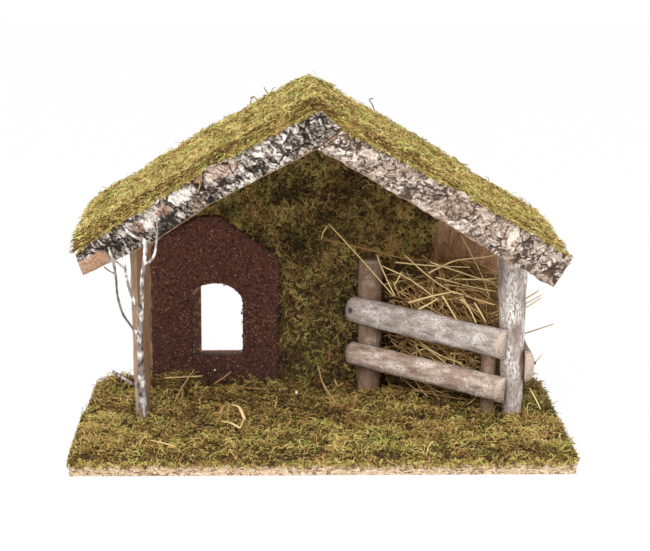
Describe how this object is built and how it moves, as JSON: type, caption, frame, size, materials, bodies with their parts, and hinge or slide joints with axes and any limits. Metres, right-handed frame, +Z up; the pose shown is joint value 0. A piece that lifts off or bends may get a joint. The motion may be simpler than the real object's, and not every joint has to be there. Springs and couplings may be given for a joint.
{
  "type": "nativity stable",
  "caption": "Small open wooden stable with a mossy gable roof, bark barge boards, a window panel, a railed hay corner, front posts, a bare twig and a moss-covered base board.",
  "frame": {"origin": "middle of the base board's underside", "axes": "+X to the right along the front, +Y from the open front to the back wall, +Z up"},
  "size_m": [0.3302, 0.172, 0.2395],
  "materials": {
    "chipboard": "raw, speckled edge",
    "ground_moss": "dry moss",
    "wall_board": "brown stained board",
    "wall_moss": "dry moss",
    "red_granulate": "rough red-brown granules",
    "roof_board": "raw board",
    "roof_moss": "dry moss",
    "birch_bark": "flaked bark",
    "brown_log": "thin bark and a sawn face",
    "grey_log": "whitewashed bark",
    "grey_twig": "bark with pale lichen",
    "hay": "dry stalks",
    "nail_steel": "plain wire"
  },
  "bodies": {
    "root": {"base_board": "chipboard", "base_moss": "ground_moss", "back_wall": "wall_board", "back_wall_moss": "wall_moss", "window_facade": "red_granulate", "left_roof_board": "roof_board", "right_roof_board": "roof_board", "left_roof_moss": "roof_moss", "right_roof_moss": "roof_moss", "left_barge_board": "birch_bark", "right_barge_board": "birch_bark", "left_post": "brown_log", "right_post": "grey_log", "rear_manger_post": "brown_log", "front_manger_post": "brown_log", "upper_rail": "grey_log", "lower_rail": "grey_log", "side_rail": "grey_log", "twig": "grey_twig", "hay_bundle": "hay", "base_nails": "nail_steel", "roof_nails": "nail_steel", "barge_nails": "nail_steel", "rail_nails": "nail_steel"}
  },
  "joints": []
}
